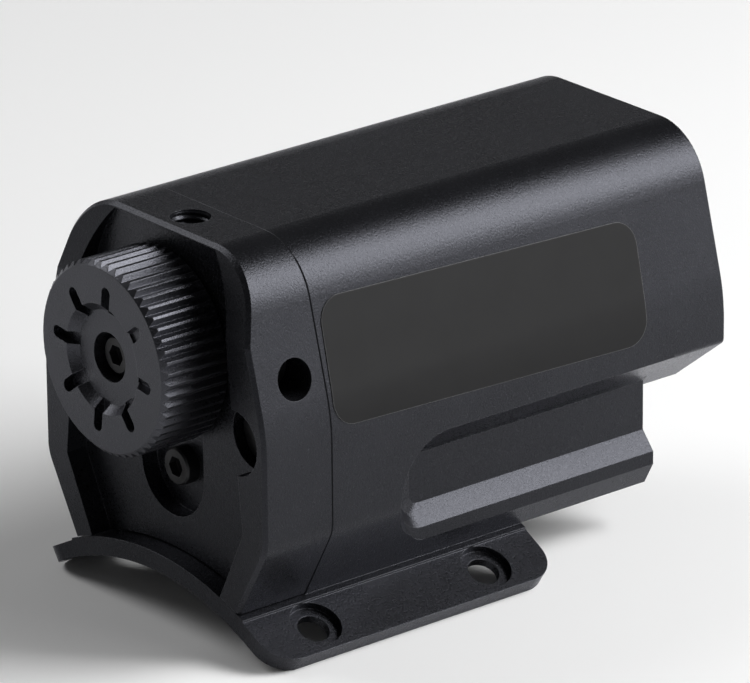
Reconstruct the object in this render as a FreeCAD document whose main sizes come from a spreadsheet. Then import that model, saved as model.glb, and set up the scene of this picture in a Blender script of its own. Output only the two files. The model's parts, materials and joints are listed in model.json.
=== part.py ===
import FreeCAD, Part
import math
import os
import re
import Sketcher

# Infrared illuminator that bolts on a tube. Millimetres. X is across, +Y runs along the
# body to the lens end, +Z is up. The origin is on the crown of the saddle seat, on the
# centre plane and midway between the flange holes.

# Driving dimensions, in millimetres and degrees
SIZES = {
    # Outline of the machined body, seen along Y
    "top_height": 36.9,
    "body_width": 36.0,
    "side_lean": 15.0,
    "shoulder_radius": 7.1,
    "flank_break_z": 19.7,
    "flank_break_radius": 20.0,
    "flank_bottom_z": 7.7,
    "flank_bottom_radius": 4.5,
    "foot_width": 26.8,
    # Length of the body
    "seam_y": -10.05,
    "body_front_y": 42.4,
    "block_end_y": 35.6,
    # Overhanging shroud at the lens end
    "shroud_bottom_z": 14.7,
    "shroud_floor_z": 8.9,
    "undercut_angle": 38.1,
    "shroud_edge_radius": 0.9,
    # Rail pocket in each flank
    "pocket_start_y": -1.15,
    "pocket_corner_radius": 6.6,
    "pocket_low_radius": 1.2,
    "pocket_low_widening": 0.97,
    "neck_width": 26.2,
    "neck_blend_width": 0.7,
    "neck_blend_length": 1.2,
    "neck_blend_height": 0.2,
    "rail_top_z": 5.2,
    "rail_angle": 49.8,
    "rail_tip_width": 29.5,
    "rail_tip_lead": 0.22,
    "rail_tip_corner": 3.2,
    # Saddle with its flanges
    "seat_radius": 33.5,
    "plate_thickness": 2.0,
    "saddle_length": 37.2,
    "flange_angle": 28.0,
    "flange_thickness": 1.7,
    "flange_edge_angle": 33.6,
    "flange_start_x": 14.1,
    "flange_corner_radius": 3.4,
    "hole_spacing": 22.4,
    "hole_radius": 1.7,
    "hole_sink_radius": 2.75,
    "hole_sink_depth": 0.85,
    # Bores along the knob axis
    "axis_depth": 12.4,
    "bore_radius": 9.6,
    "front_bore_radius": 10.8,
    # Rear cap
    "cap_front_y": -18.67,
    "cap_floor_y": -16.2,
    "cap_gap": 0.12,
    "cheek_top_z": 36.42,
    "cheek_top_width": 16.2,
    "cheek_bow_radius": 15.0,
    "cheek_bend_z": 26.0,
    "cheek_lean": 6.6,
    "cheek_inner_width": 28.9,
    "cheek_knee_z": 8.5,
    "cheek_foot_width": 19.9,
    "slant_z": 28.6,
    "lip_y": -16.45,
    "cheek_chamfer": 0.4,
    "tail_hole_radius": 5.9,
    "recess_radius": 5.1,
    "recess_depth": 2.0,
    # Screws of the cap
    "leg_screw_x": 13.45,
    "leg_screw_z": 18.1,
    "leg_sink_radius": 3.45,
    "leg_web": 1.5,
    "leg_head_height": 3.5,
    "leg_screw_radius": 2.0,
    "leg_screw_length": 10.0,
    "low_screw_z": 10.6,
    "small_head_radius": 2.0,
    "small_head_height": 1.6,
    "small_screw_radius": 1.25,
    "low_screw_length": 9.0,
    "knob_screw_length": 6.5,
    "small_socket": 2.0,
    "leg_socket": 3.0,
    # Seal between cap and body
    "seal_inner_radius": 10.2,
    "seal_outer_radius": 11.3,
    "seal_depth": 0.9,
    # Alignment screws and the spring plunger against them
    "adjuster_radius": 2.0,
    "adjuster_bore_radius": 2.1,
    "elevation_screw_y": -13.3,
    "windage_screw_y": -13.65,
    "elevation_screw_length": 5.0,
    "windage_screw_length": 8.0,
    "adjuster_socket": 2.0,
    "adjuster_gap": 0.1,
    "plunger_y": -12.2,
    "plunger_radius": 1.4,
    "plunger_length": 5.0,
    "plunger_gap": 0.7,
    # Tilting optic tube and its pivots
    "tube_radius": 8.1,
    "tube_inner_radius": 7.1,
    "tube_front_y": 41.8,
    "tube_wall_y": -8.0,
    "tube_wall_thickness": 3.0,
    "tail_radius": 5.0,
    "tail_end_y": -15.2,
    "bush_bore_radius": 3.6,
    "pivot_inset": 4.4,
    "pivot_sleeve_reach": 5.0,
    "pin_radius": 0.8,
    "ring_inner_radius": 8.4,
    "ring_outer_radius": 9.4,
    "ring_width": 5.0,
    "sleeve_inner_radius": 9.7,
    "front_ring_width": 1.2,
    "front_ring_inner_radius": 8.9,
    "spanner_notch_width": 1.6,
    # Lens
    "lens_shoulder_y": 34.0,
    "lens_shoulder_width": 1.0,
    "lens_clear_radius": 6.2,
    "lens_edge": 1.6,
    "lens_curve_radius": 11.0,
    "lens_seal_width": 0.4,
    "lens_ring_width": 3.0,
    # Focus drive
    "knob_face_y": -24.8,
    "knob_back_y": -16.45,
    "knob_radius": 10.2,
    "knob_edge": 0.55,
    "knurl_count": 54,
    "knurl_width": 1.0,
    "knurl_depth": 0.5,
    "dish_radius": 5.8,
    "dish_floor_radius": 4.95,
    "dish_depth": 1.0,
    "dish_slots": 8,
    "dish_slot_width": 1.34,
    "dish_slot_depth": 1.25,
    "dish_slot_reach": 7.95,
    "dish_slot_phase": 7.2,
    "knob_sink_radius": 2.6,
    "knob_head_depth": 1.8,
    "knob_web": 1.05,
    "hub_radius": 4.4,
    "spindle_radius": 2.45,
    "spindle_end_y": 12.0,
    "bush_start_y": -13.4,
    "spindle_seal_width": 1.1,
    "clip_thickness": 0.7,
    "clip_groove_radius": 1.85,
    "clip_radius": 3.3,
    # Emitter carriage
    "carriage_radius": 6.95,
    "carriage_back_y": 2.0,
    "carriage_base": 7.0,
    "carriage_rim": 5.0,
    "carriage_rim_inner_radius": 5.9,
    "carriage_bore_radius": 2.52,
    "rod_radius": 0.9,
    "rod_offset": 4.8,
    "rod_end_y": 13.4,
    "emitter_board_thickness": 1.2,
    "emitter_radius": 2.5,
    "emitter_height": 2.4,
    # Driver board and the contacts in the seat
    "cavity_width": 17.4,
    "cavity_floor_z": 3.5,
    "cavity_roof_z": 8.8,
    "cavity_end_y": 22.0,
    "board_width": 18.6,
    "board_length": 31.0,
    "board_thickness": 1.0,
    "board_z": 5.5,
    "coil_radius": 2.6,
    "coil_x": -4.0,
    "coil_y": 15.0,
    "can_radius": 1.6,
    "can_x": 4.5,
    "can_y": 16.0,
    "board_part_height": 2.0,
    "chip_x": -0.5,
    "chip_y": 4.5,
    "chip_side": 5.0,
    "chip_height": 1.0,
    "plug_x": 4.5,
    "plug_y": -5.5,
    "plug_width": 5.0,
    "plug_length": 4.0,
    "contact_width": 10.0,
    "contact_length": 8.0,
    "contact_recess": 0.3,
    "contact_pin_radius": 0.8,
    "contact_pin_offset": 2.2,
    "contact_pin_recess": 0.1,
    # Bare label on the right side
    "label_length": 41.3,
    "label_height": 12.8,
    "label_y": 11.25,
    "label_z": 24.35,
    "label_tilt": 1.8,
    "label_corner": 2.6,
    "label_thickness": 0.1,
    # Fits between pieces
    "slip": 0.05,
}

# Places worked out from the sizes, as expressions
PLACES = {
    "half_body": "body_width / 2",
    "half_foot": "foot_width / 2",
    "half_neck": "neck_width / 2",
    "half_tip": "rail_tip_width / 2",
    "shoulder_x": "half_body - (top_height - flank_break_z) * tan(side_lean)",
    "seat_outer_radius": "seat_radius + plate_thickness",
    "foot_z": "sqrt(seat_outer_radius ^ 2 - half_foot ^ 2) - seat_radius",
    "tip_low_z": "foot_z + (half_tip - half_foot) * (flank_bottom_z - foot_z) / (half_body - half_foot)",
    "axis_z": "top_height - axis_depth",
    "half_shroud_floor": "half_body - (shroud_bottom_z - shroud_floor_z) / tan(undercut_angle)",
    "neck_top_z": "shroud_bottom_z - (half_body - half_neck) * tan(undercut_angle)",
    "half_saddle": "saddle_length / 2",
    "flange_flat": "seat_radius + flange_thickness",
    "leg_floor_y": "seam_y - leg_web",
    "recess_floor_y": "cap_floor_y + recess_depth",
    "knob_sink_y": "knob_face_y + knob_head_depth + small_head_height",
    "hub_start_y": "knob_sink_y + knob_web",
    "tail_wall_y": "tube_wall_y + tube_wall_thickness",
    "clip_back_y": "tail_wall_y + slip",
    "pivot_y": "body_front_y - pivot_inset",
    "front_bore_depth": "pivot_inset + pivot_sleeve_reach",
    "lens_seat_y": "lens_shoulder_y + lens_shoulder_width",
    "lens_back_y": "lens_seat_y + lens_seal_width",
    "lens_rim_y": "lens_back_y + lens_edge",
    "lens_radius": "tube_inner_radius - slip",
    "sleeve_front_y": "body_front_y - slip - front_ring_width",
    "carriage_step_y": "carriage_back_y + carriage_base",
    "carriage_front_y": "carriage_step_y + carriage_rim",
    "emitter_y": "carriage_front_y + emitter_board_thickness",
}

DOCUMENT = FreeCAD.newDocument("illuminator")
SHEET = DOCUMENT.addObject("Spreadsheet::Sheet", "Sizes")
NODES = []


def fill_sheet():
    """Writes the driving dimensions into the sheet, one named cell each."""
    for row, (word, value) in enumerate(SIZES.items(), start=1):
        SHEET.set(f"A{row}", word)
        SHEET.set(f"B{row}", str(value))
        SHEET.setAlias(f"B{row}", word)
    DOCUMENT.recompute()


def tied(text):
    """Returns a size or place as an expression on the sheet."""
    def swap(match):
        word = match.group(0)
        if word in PLACES:
            return "(" + tied(PLACES[word]) + ")"
        if word in SIZES:
            return "Sizes." + word
        return word
    return re.sub(r"[a-z_][a-z_0-9]*", swap, str(text))


def number(text):
    """Returns the value that an expression has now."""
    return float(SHEET.evalExpression(tied(text)))


def bind(thing, sizes):
    """Binds properties of a thing to expressions on the sheet."""
    for name, text in sizes.items():
        thing.setExpression(name, tied(text))


def half(text):
    return f"({text}) / 2"


def minus(text):
    return f"-({text})"


# Sketches

def origin_part(body, role):
    """Returns the body's own origin plane or axis with that role."""
    return [feature for feature in body.Origin.OriginFeatures if feature.Role == role][0]


def flat_sketch(body, name, plane, lift="0", turn=None):
    """Starts a sketch on an origin plane of the body, lifted along the plane's normal."""
    sketch = body.newObject("Sketcher::SketchObject", name)
    sketch.AttachmentSupport = [(origin_part(body, plane), "")]
    sketch.MapMode = "FlatFace"
    if turn:
        sketch.AttachmentOffset = FreeCAD.Placement(FreeCAD.Vector(), turn)
    bind(sketch, {"AttachmentOffset.Base.z": lift})
    return sketch


def hold(sketch, kind, *items):
    """Adds a constraint whose value is the expression in the last item."""
    text = items[-1]
    row = sketch.addConstraint(Sketcher.Constraint(kind, *items[:-1], number(text)))
    bind(sketch, {f"Constraints[{row}]": text})


def hold_point(sketch, geometry, position, x, y):
    """Places a point of the sketch at two expressions from its origin."""
    hold(sketch, "DistanceX", -1, 1, geometry, position, x)
    hold(sketch, "DistanceY", -1, 1, geometry, position, y)


def arc_between(start, end, centre, side=0):
    """Returns the arc about the centre and the numbers of its ends at start and end.

    side is 1 to bulge left of the way from start to end, -1 right, and 0 for the shorter arc.
    """
    radius = (start - centre).Length
    first = math.atan2(start.y - centre.y, start.x - centre.x)
    last = math.atan2(end.y - centre.y, end.x - centre.x)
    sweep = (last - first) % (2 * math.pi)
    circle = Part.Circle(centre, FreeCAD.Vector(0, 0, 1), radius)
    if side == -1 or (side == 0 and sweep <= math.pi):
        return Part.ArcOfCircle(circle, first, first + sweep), (1, 2)
    return Part.ArcOfCircle(circle, last, last + 2 * math.pi - sweep), (2, 1)


def bow_centre(start, end, radius, side):
    """Returns the centre of an arc through two points. side is 1 to bulge left and -1 right."""
    middle = (start + end) * 0.5
    along = end - start
    reach = math.sqrt(max(radius ** 2 - (along.Length / 2) ** 2, 0))
    left = FreeCAD.Vector(-along.y, along.x, 0).normalize()
    return middle - left * reach * side


def outline(body, name, plane, corners, lift="0", bows=None, turn=None):
    """Draws a closed outline through its corners, each two expressions and maybe a radius.

    bows gives each side that is an arc: its number, its radius and the side it bulges to.
    Without a radius it is a half circle that runs on from the side before it.
    """
    sketch = flat_sketch(body, name, plane, lift, turn)
    bows = bows or {}
    count = len(corners)
    spots = [FreeCAD.Vector(number(corner[0]), number(corner[1]), 0) for corner in corners]
    starts = list(spots)
    ends = [spots[(side + 1) % count] for side in range(count)]
    rounds = {}
    for place, corner in enumerate(corners):
        if len(corner) == 2:
            continue
        before = (spots[place - 1] - spots[place]).normalize()
        after = (spots[(place + 1) % count] - spots[place]).normalize()
        opening = before.getAngle(after) / 2
        radius = number(corner[2])
        trim = radius / math.tan(opening)
        bisector = (before + after).normalize()
        ends[place - 1] = spots[place] + before * trim
        starts[place] = spots[place] + after * trim
        rounds[place] = spots[place] + bisector * (radius / math.sin(opening))
    tips = []
    for side in range(count):
        if side in bows:
            radius, bulge = bows[side]
            reach = number(radius) if radius else (ends[side] - starts[side]).Length / 2
            centre = bow_centre(starts[side], ends[side], reach, bulge)
            arc, positions = arc_between(starts[side], ends[side], centre, bulge)
            sketch.addGeometry(arc, False)
            tips.append(positions)
            if radius:
                hold(sketch, "Radius", side, radius)
        else:
            sketch.addGeometry(Part.LineSegment(starts[side], ends[side]), False)
            tips.append((1, 2))
    for place, corner in enumerate(corners):
        previous = (place - 1) % count
        if place in rounds:
            round_corner(sketch, place, previous, ends[previous], starts[place], rounds[place], corner)
        else:
            joined = "Tangent" if place in bows and not bows[place][0] else "Coincident"
            sketch.addConstraint(Sketcher.Constraint(
                joined, previous, tips[previous][1], place, tips[place][0]))
            hold_point(sketch, place, tips[place][0], corner[0], corner[1])
    return sketch


def round_corner(sketch, side, previous, start, end, centre, corner):
    """Blends two straight sides with a tangent arc and keeps their sharp corner as a point."""
    arc, (first, last) = arc_between(start, end, centre)
    blend = sketch.addGeometry(arc, False)
    sketch.addConstraint(Sketcher.Constraint("Tangent", previous, 2, blend, first))
    sketch.addConstraint(Sketcher.Constraint("Tangent", blend, last, side, 1))
    hold(sketch, "Radius", blend, corner[2])
    spot = FreeCAD.Vector(number(corner[0]), number(corner[1]), 0)
    point = sketch.addGeometry(Part.Point(spot), True)
    sketch.addConstraint(Sketcher.Constraint("PointOnObject", point, 1, previous))
    sketch.addConstraint(Sketcher.Constraint("PointOnObject", point, 1, side))
    hold_point(sketch, point, 1, corner[0], corner[1])


def circles(body, name, plane, rounds, lift="0", turn=None):
    """Draws circles, each given by two expressions for its centre and one for its radius."""
    sketch = flat_sketch(body, name, plane, lift, turn)
    for number_of, (x, y, radius) in enumerate(rounds):
        centre = FreeCAD.Vector(number(x), number(y), 0)
        circle = Part.Circle(centre, FreeCAD.Vector(0, 0, 1), number(radius))
        sketch.addGeometry(circle, False)
        hold(sketch, "Radius", number_of, radius)
        hold_point(sketch, number_of, 3, x, y)
    return sketch


def rectangle(low_x, low_y, high_x, high_y):
    return [(low_x, low_y), (high_x, low_y), (high_x, high_y), (low_x, high_y)]


def hexagon(across_flats):
    """Returns the corners of a hexagon about the sketch's origin."""
    reach = f"{across_flats} / sqrt(3)"
    return [(f"{reach} * cos({60 * step})", f"{reach} * sin({60 * step})") for step in range(6)]


def both_sides(right):
    """Returns a closed outline from its right half, listed from top to bottom."""
    left = [(minus(corner[0]),) + tuple(corner[1:]) for corner in reversed(right)]
    return list(right) + left


def spots_along(edge):
    """Returns the start, the middle and the end of an edge."""
    first = edge.FirstParameter
    last = edge.LastParameter
    return [edge.valueAt(first + (last - first) * share) for share in (0, 0.5, 1)]


# Features

def new_body(label):
    body = DOCUMENT.addObject("PartDesign::Body", label)
    body.Label = label
    return body


def keep(label, thing):
    """Marks a thing as a finished piece under its label."""
    thing.Label = label
    NODES.append(thing)
    return thing


def pad(body, sketch, length, backward=False, middle=False):
    """Adds material along the sketch's normal, or against it."""
    feature = body.newObject("PartDesign::Pad", sketch.Name + "_pad")
    feature.Profile = sketch
    feature.Reversed = backward
    feature.Midplane = middle
    feature.Refine = True
    bind(feature, {"Length": length})
    sketch.Visibility = False
    return feature


def pocket(body, sketch, depth, forward=False, middle=False):
    """Cuts against the sketch's normal, or along it. Without a depth it goes right through."""
    feature = body.newObject("PartDesign::Pocket", sketch.Name + "_cut")
    feature.Profile = sketch
    feature.Reversed = forward
    feature.Midplane = middle
    feature.Refine = True
    if depth is None:
        feature.Type = 1
    else:
        bind(feature, {"Length": depth})
    return feature


def revolve(body, sketch):
    """Turns an outline of (along, radius) points about the sketch's level axis."""
    feature = body.newObject("PartDesign::Revolution", sketch.Name + "_turn")
    feature.Profile = sketch
    feature.ReferenceAxis = (sketch, ["H_Axis"])
    feature.Angle = 360
    feature.Refine = True
    return feature


def pattern_round(body, originals, count):
    """Repeats cuts about the body's Y axis."""
    feature = body.newObject("PartDesign::PolarPattern", originals[0].Name + "_round")
    feature.Originals = originals
    feature.Axis = (origin_part(body, "Y_Axis"), [""])
    feature.Angle = 360
    bind(feature, {"Occurrences": count})
    body.Tip = feature
    return feature


def mirror_across(body, originals, plane="YZ_Plane"):
    """Repeats features on the other side of an origin plane."""
    feature = body.newObject("PartDesign::Mirrored", originals[0].Name + "_mirrored")
    feature.Originals = originals
    feature.MirrorPlane = (origin_part(body, plane), [""])
    body.Tip = feature
    return feature


def place(thing, x="0", y="0", z="0", turn=None):
    """Puts a piece at a point given by three expressions."""
    thing.Placement = FreeCAD.Placement(FreeCAD.Vector(), turn or FreeCAD.Rotation())
    bind(thing, {"Placement.Base.x": x, "Placement.Base.y": y, "Placement.Base.z": z})


def turned(label, corners, bows=None, at_axis=True):
    """Makes a piece turned about its Y axis from (along, radius) corners."""
    body = new_body(label)
    revolve(body, outline(body, label + "_section", "YZ_Plane", corners, bows=bows))
    if at_axis:
        place(body, z="axis_z")
    return body


def ring(label, start, end, inner, outer):
    """Makes a plain turned ring on the knob axis."""
    return turned(label, rectangle(start, inner, end, outer))


def bar(label, radius, length, direction, x, y, z):
    """Makes a round bar from a point along a direction."""
    cylinder = DOCUMENT.addObject("Part::Cylinder", label)
    bind(cylinder, {"Radius": radius, "Height": length})
    place(cylinder, x, y, z, FreeCAD.Rotation(FreeCAD.Vector(0, 0, 1), direction))
    return cylinder


def block(label, low, high):
    """Makes a box between two corners given as expressions."""
    box = DOCUMENT.addObject("Part::Box", label)
    spans = [f"({top}) - ({base})" for base, top in zip(low, high)]
    bind(box, dict(zip(("Length", "Width", "Height"), spans)))
    place(box, *low)
    return box


def standing_block(label, x, y, wide, deep, base, tall):
    """Makes a box that stands on a level, about a middle point."""
    low = (f"{x} - {wide} / 2", f"{y} - {deep} / 2", base)
    high = (f"{x} + {wide} / 2", f"{y} + {deep} / 2", f"{base} + {tall}")
    return block(label, low, high)


def pair(label, piece, normal, z="0"):
    """Groups a piece with its mirror image."""
    image = DOCUMENT.addObject("Part::Mirroring", label + "_image")
    image.Source = piece
    image.Normal = normal
    bind(image, {"Base.z": z})
    return group(label, [piece, image])


def group(label, pieces):
    """Keeps separate solids as one piece."""
    compound = DOCUMENT.addObject("Part::Compound", label + "_set")
    compound.Links = pieces
    for piece in pieces:
        piece.Label = piece.Label + "_one"
    return keep(label, compound)


def socket(body, across_flats, face, depth):
    """Cuts a hexagon socket into the end face that looks along -Y."""
    sketch = outline(body, body.Label + "_socket", "XZ_Plane", hexagon(across_flats), lift=minus(face))
    return pocket(body, sketch, depth)


# Body and cap

def body_corners():
    """Returns the right half of the outline that body and cap share, from the top down."""
    return [
        ("shoulder_x", "top_height", "shoulder_radius"),
        ("half_body", "flank_break_z", "flank_break_radius"),
        ("half_body", "flank_bottom_z", "flank_bottom_radius"),
    ]


def add_body_outline(body, name, start, end, seat_radius):
    """Pads the shared outline from one place to another, hollow below to the given radius."""
    foot = ("half_foot", f"sqrt(({seat_radius}) ^ 2 - half_foot ^ 2) - seat_radius")
    corners = both_sides(body_corners() + [foot])
    sketch = outline(body, name, "XZ_Plane", corners, lift=minus(start), bows={3: (seat_radius, -1)})
    return pad(body, sketch, f"{end} - ({start})", backward=True)


def add_shroud(body):
    """Pads the part of the outline that overhangs the rail at the lens end."""
    corners = both_sides(body_corners()[:2] + [
        ("half_body", "shroud_bottom_z", "shroud_edge_radius"),
        ("half_shroud_floor", "shroud_floor_z"),
    ])
    sketch = outline(body, "shroud", "XZ_Plane", corners, lift=minus("body_front_y"))
    return pad(body, sketch, "body_front_y - seam_y")


def flat_z(x):
    """Returns the height of the right flange's flat at a distance from the centre plane."""
    return f"(flange_flat - ({x}) * sin(flange_angle)) / cos(flange_angle) - seat_radius"


def add_saddle(body):
    """Pads the curved plate that seats on the tube, with a flat on each flange."""
    edge_reach = "flange_flat / cos(flange_edge_angle - flange_angle)"
    right = [
        ("flange_start_x", "sqrt(seat_outer_radius ^ 2 - flange_start_x ^ 2) - seat_radius"),
        ("flange_start_x", flat_z("flange_start_x")),
        (f"{edge_reach} * sin(flange_edge_angle)",
         f"{edge_reach} * cos(flange_edge_angle) - seat_radius"),
        ("seat_radius * sin(flange_edge_angle)",
         "seat_radius * cos(flange_edge_angle) - seat_radius"),
    ]
    bows = {3: ("seat_radius", -1), 7: ("seat_outer_radius", 1)}
    sketch = outline(body, "saddle", "XZ_Plane", both_sides(right), bows=bows)
    saddle = pad(body, sketch, "saddle_length", middle=True)
    DOCUMENT.recompute()
    corner = body.newObject("PartDesign::Fillet", "flange_corners")
    corner.Base = (saddle, flange_corner_edges(saddle.Shape))
    bind(corner, {"Radius": "flange_corner_radius"})
    return corner


def flange_corner_edges(shape):
    """Names the four short edges at the corners of the flanges."""
    reach = number("half_saddle")
    side = number("seat_radius * sin(flange_edge_angle)")
    found = []
    for index, edge in enumerate(shape.Edges, start=1):
        spots = spots_along(edge)
        at_end = all(abs(abs(spot.y) - reach) < 1e-4 for spot in spots)
        outside = all(abs(spot.x) > side - 1e-4 for spot in spots)
        if at_end and outside:
            found.append(f"Edge{index}")
    return found


def pocket_start(x):
    """Returns where the pocket's leaning end wall crosses an upright plane."""
    return f"pocket_start_y + (half_body - ({x})) * tan(undercut_angle)"


def pocket_section(body, name, x, shorter="0", lower="0"):
    """Draws the rail pocket where it crosses an upright plane, with its walls leaning out."""
    out = f"(({x}) - half_neck)"
    start = f"{pocket_start(x)} + {shorter}"
    top = f"neck_top_z + {out} * tan(undercut_angle) - {lower}"
    low = f"rail_top_z - {out} * tan(rail_angle)"
    corner = f"pocket_corner_radius - (half_body - ({x})) * tan(undercut_angle) - {shorter}"
    low_corner = f"pocket_low_radius + pocket_low_widening * {out}"
    past_end = "body_front_y + plate_thickness"
    corners = [(start, low, low_corner), (past_end, low), (past_end, top), (start, top, corner)]
    return outline(body, name, "YZ_Plane", corners, lift=x)


def cut_rail_pocket(body):
    """Cuts the pocket that leaves a rail along the right flank, blended where it meets the neck."""
    inner = pocket_section(body, "pocket_inner", "half_neck", "neck_blend_length", "neck_blend_height")
    blend = pocket_section(body, "pocket_blend", "half_neck + neck_blend_width")
    outer = pocket_section(body, "pocket_outer", "half_body + plate_thickness")
    loft = body.newObject("PartDesign::SubtractiveLoft", "rail_pocket")
    loft.Profile = inner
    loft.Sections = [blend, outer]
    loft.Ruled = True
    loft.Refine = True
    return loft


def cut_rail_tip(body):
    """Flattens the tip of the rail, from just outside the pocket's rounded end."""
    start = pocket_start("half_tip")
    corners = [(f"{start} - rail_tip_lead", "tip_low_z", "rail_tip_corner"), ("body_front_y", "tip_low_z"),
               ("body_front_y", "rail_top_z"), (f"{start} + rail_tip_lead", "rail_top_z")]
    tip = outline(body, "rail_tip", "YZ_Plane", corners, lift="half_tip")
    return pocket(body, tip, "half_body - half_tip", forward=True)


def cut_flange_holes(body):
    """Sinks the two screw holes in the right flange, square to its flat."""
    turn = FreeCAD.Rotation(FreeCAD.Vector(0, 1, 0), number("flange_angle"))
    cuts = []
    for name, radius, depth in (("sink", "hole_sink_radius", "plate_thickness + hole_sink_depth"),
                                ("hole", "hole_radius", "2 * plate_thickness + flange_thickness")):
        spots = [("0", half(sign + "hole_spacing"), radius) for sign in ("", "-")]
        sketch = circles(body, "flange_" + name, "XY_Plane", spots, turn=turn)
        reach = "(flange_flat + plate_thickness)"
        bind(sketch, {
            "AttachmentOffset.Rotation.Angle": "flange_angle",
            "AttachmentOffset.Base.x": reach + " * sin(flange_angle)",
            "AttachmentOffset.Base.z": reach + " * cos(flange_angle) - seat_radius",
        })
        cuts.append(pocket(body, sketch, depth))
    return cuts


def cut_body_bores(body):
    """Bores the body for the optic tube, the pivot sleeve, the board and the seal."""
    bore = circles(body, "bore", "XZ_Plane", [("0", "axis_z", "bore_radius")], lift=minus("seam_y"))
    pocket(body, bore, "body_front_y - seam_y")
    front = circles(body, "front_bore", "XZ_Plane", [("0", "axis_z", "front_bore_radius")],
                    lift=minus("body_front_y"))
    pocket(body, front, "front_bore_depth", forward=True)
    groove = circles(body, "seal_groove", "XZ_Plane",
                     [("0", "axis_z", "seal_outer_radius"), ("0", "axis_z", "seal_inner_radius")],
                     lift=minus("seam_y"))
    pocket(body, groove, "seal_depth")
    cavity = rectangle(minus(half("cavity_width")), "cavity_floor_z", half("cavity_width"), "cavity_roof_z")
    slots = rectangle(minus(half("board_width") + " + slip"), "board_z - slip",
                      half("board_width") + " + slip", "board_z + board_thickness + slip")
    for name, corners in (("board_cavity", cavity), ("board_slots", slots)):
        pocket(body, outline(body, name, "XZ_Plane", corners, lift=minus("seam_y")),
               "cavity_end_y - seam_y")
    window = rectangle(minus(half("contact_width")), minus(half("contact_length")),
                       half("contact_width"), half("contact_length"))
    pocket(body, outline(body, "contact_window", "XY_Plane", window, lift="-plate_thickness"),
           "cavity_floor_z + plate_thickness + slip", forward=True)
    low = circles(body, "low_thread", "XZ_Plane", [("0", "low_screw_z", "small_screw_radius + slip")],
                  lift=minus("seam_y"))
    pocket(body, low, "low_screw_length - (seam_y - recess_floor_y) + slip")


def make_housing():
    body = new_body("housing")
    add_body_outline(body, "block", "seam_y", "block_end_y", "seat_outer_radius")
    add_shroud(body)
    mirror_across(body, [cut_rail_pocket(body), cut_rail_tip(body)])
    add_saddle(body)
    cut_body_bores(body)
    sinks = cut_flange_holes(body)
    thread = circles(body, "leg_thread", "XZ_Plane",
                     [("leg_screw_x", "leg_screw_z", "leg_screw_radius + slip")], lift=minus("seam_y"))
    leg = pocket(body, thread, "leg_screw_length - leg_web + slip")
    mirror_across(body, sinks + [leg])
    return keep("housing", body)


def front_edges(shape):
    """Names the outer front edges of the cap, without the foot's arc and the bend to the slant."""
    front = number("cap_front_y")
    lip = number("lip_y")
    top = number("top_height")
    found = []
    for index, edge in enumerate(shape.Edges, start=1):
        spots = spots_along(edge)
        middle = spots[1]
        on_front = all(abs(spot.y - front) < 1e-4 for spot in spots)
        on_slant = front + 1e-3 < middle.y < lip - 1e-3
        on_lip = all(abs(spot.y - lip) < 1e-4 and abs(spot.z - top) < 1e-4 for spot in spots)
        if ((on_front or on_slant) and abs(middle.x) > 1) or on_lip:
            found.append(f"Edge{index}")
    return found


def cut_cheeks(body):
    """Hollows the cap between its two cheeks, down to the floor behind the knob."""
    right = [
        ("cheek_top_width / 2", "cheek_top_z"),
        ("cheek_inner_width / 2 - (cheek_bend_z - cheek_knee_z) * tan(cheek_lean)", "cheek_bend_z"),
        ("cheek_inner_width / 2", "cheek_knee_z"),
        ("cheek_foot_width / 2", "foot_z"),
        ("cheek_foot_width / 2", "foot_z - plate_thickness"),
    ]
    bows = {0: ("cheek_bow_radius", 1), 8: ("cheek_bow_radius", 1)}
    sketch = outline(body, "cheeks", "XZ_Plane", both_sides(right), lift=minus("cap_front_y"), bows=bows)
    pocket(body, sketch, "cap_floor_y - cap_front_y")


def cut_cap_holes(body):
    """Cuts the holes for the tail, the adjusters, the plunger and the screws."""
    tail = circles(body, "tail_hole", "XZ_Plane", [("0", "axis_z", "tail_hole_radius")],
                   lift=minus("cap_front_y"))
    pocket(body, tail, "seam_y - cap_front_y")
    recess = outline(body, "recess", "XZ_Plane", [
        ("recess_radius", "axis_z"), ("recess_radius", "low_screw_z"),
        ("-recess_radius", "low_screw_z"), ("-recess_radius", "axis_z"),
    ], lift=minus("cap_floor_y"), bows={1: (None, 1)})
    pocket(body, recess, "recess_depth")
    low = circles(body, "low_hole", "XZ_Plane", [("0", "low_screw_z", "small_screw_radius + slip")],
                  lift=minus("cap_floor_y"))
    pocket(body, low, "seam_y - cap_floor_y")
    top = circles(body, "elevation_hole", "XY_Plane", [("0", "elevation_screw_y", "adjuster_bore_radius")],
                  lift="top_height")
    pocket(body, top, "axis_depth")
    side = circles(body, "windage_hole", "YZ_Plane", [("windage_screw_y", "axis_z", "adjuster_bore_radius")],
                   lift="half_body")
    pocket(body, side, "half_body")
    outward = FreeCAD.Rotation(FreeCAD.Vector(0, 0, 1), FreeCAD.Vector(-1, 0, -1))
    well = circles(body, "plunger_well", "XY_Plane", [("0", "0", "plunger_radius + slip")], turn=outward)
    bind(well, {"AttachmentOffset.Base.y": "plunger_y", "AttachmentOffset.Base.z": "axis_z"})
    pocket(body, well, "tail_radius + plunger_gap + plunger_length + slip", forward=True)


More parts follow.
